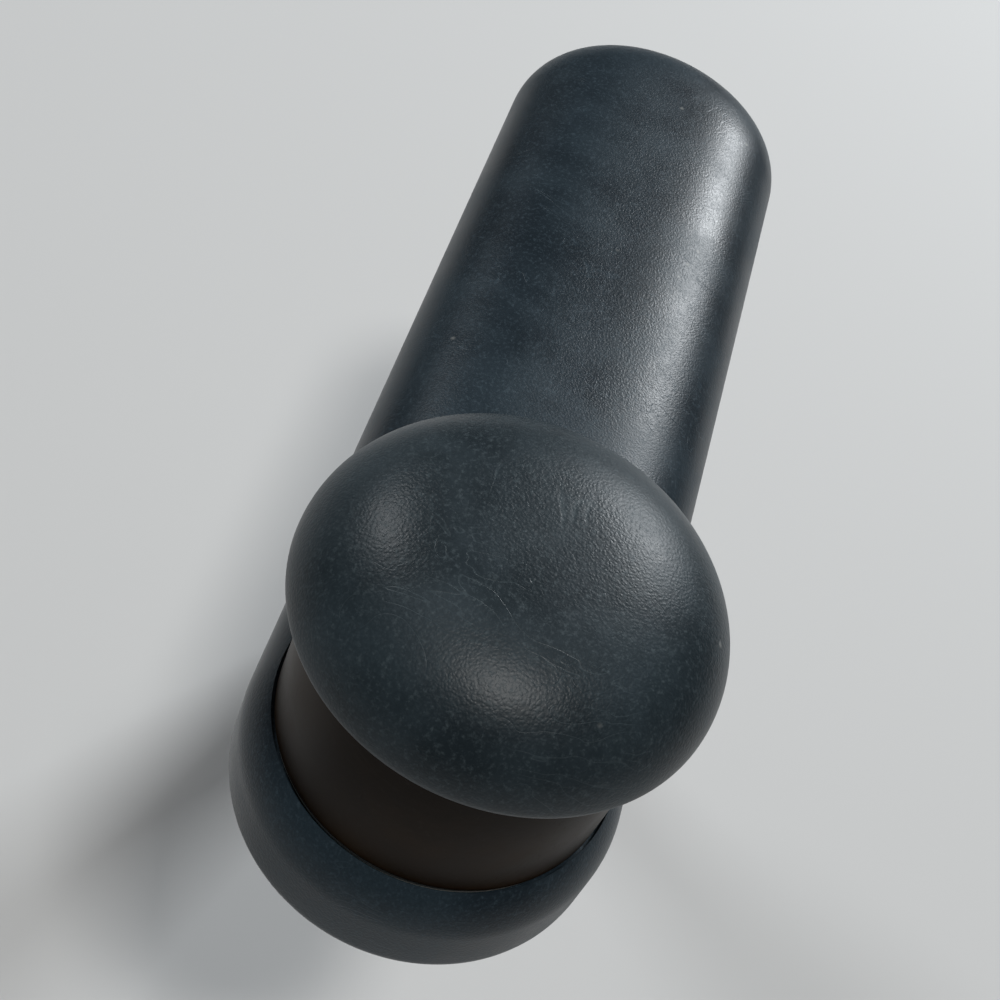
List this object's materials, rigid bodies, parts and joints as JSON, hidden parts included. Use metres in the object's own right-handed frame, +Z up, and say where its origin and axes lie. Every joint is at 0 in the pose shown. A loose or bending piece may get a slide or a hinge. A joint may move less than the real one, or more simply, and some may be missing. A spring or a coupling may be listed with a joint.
{
  "type": "hitch pin lock",
  "caption": "Hitch pin with a stop head and a long round-ended lock head; a domed cap on the end knob swings aside over the key cylinder.",
  "frame": {"origin": "on the pin axis, at the shoulder where the shank ends and the seat washer rests", "axes": "+Z up the pin towards the lock head, +X along the bar towards the knob"},
  "size_m": [0.1334, 0.0366, 0.1391],
  "materials": {
    "cover_plastic": "moulded soft skin, fine leather grain, matte",
    "cap_plastic": "moulded, fine leather grain, matte",
    "neck_plastic": "smooth, half gloss, brown-black",
    "pin_steel": "bright plated, polished",
    "stop_steel": "bright plated, turned",
    "boot_rubber": "matte",
    "plate_steel": "zinc plated",
    "screw_steel": "dark zinc",
    "cast_zinc": "die cast, grey, satin",
    "hard_steel": "hardened, dark",
    "brass": "turned brass",
    "seal_rubber": "black nitrile",
    "slip_nylon": "natural nylon"
  },
  "bodies": {
    "pin": {"pin_shank": "pin_steel", "stop_head": "stop_steel", "stop_boot": "boot_rubber"},
    "seat": {"seat_washer": "plate_steel", "washer_pad": "seal_rubber"},
    "head": {"body_cover": "cover_plastic", "lock_frame": "cast_zinc", "base_plate": "plate_steel", "base_screws": "screw_steel", "armour_plate": "hard_steel", "armour_rivets": "hard_steel", "pin_collar": "plate_steel", "collar_seal": "seal_rubber", "lock_barrel": "cast_zinc", "shell_pin": "screw_steel", "cylinder_shell": "brass", "drill_guards": "hard_steel", "thrust_washer": "slip_nylon", "sleeve_ring": "hard_steel", "bolt_guides": "brass"},
    "plug": {"key_plug": "brass", "wafers": "brass", "drive_cam": "hard_steel", "cam_screw": "screw_steel"},
    "bolt": {"dead_bolt": "hard_steel"},
    "knob": {"guard_sleeve": "neck_plastic"},
    "cap": {"dust_cap": "cap_plastic", "cap_plate": "plate_steel", "cap_seal": "seal_rubber", "cap_screws": "screw_steel", "cap_pivot": "screw_steel"}
  },
  "joints": [
    {"name": "head_lift", "type": "slide", "parent": "pin", "child": "seat", "axis": [0, 0, 1], "range_m": [0, 0.1]},
    {"name": "head_swivel", "type": "hinge", "parent": "seat", "child": "head", "pos_m": [0, 0, 0.003], "axis": [0, 0, 1], "continuous": true},
    {"name": "key_turn", "type": "hinge", "parent": "head", "child": "plug", "pos_m": [0.097, 0, 0.03], "axis": [0, 0, 1], "range_deg": [0, 90]},
    {"name": "bolt_slide", "type": "slide", "parent": "head", "child": "bolt", "axis": [-1, 0, 0], "range_m": [0, 0.00848]},
    {"name": "knob_spin", "type": "hinge", "parent": "head", "child": "knob", "pos_m": [0.097, 0, 0.034], "axis": [0, 0, 1], "continuous": true},
    {"name": "cap_swing", "type": "hinge", "parent": "knob", "child": "cap", "pos_m": [0.097, 0.0139, 0.043], "axis": [0, 0, 1], "range_deg": [0, 180]}
  ],
  "couplings": [
    {"joint": "key_turn", "follows": "bolt_slide", "rad_per_m": 185.12}
  ]
}
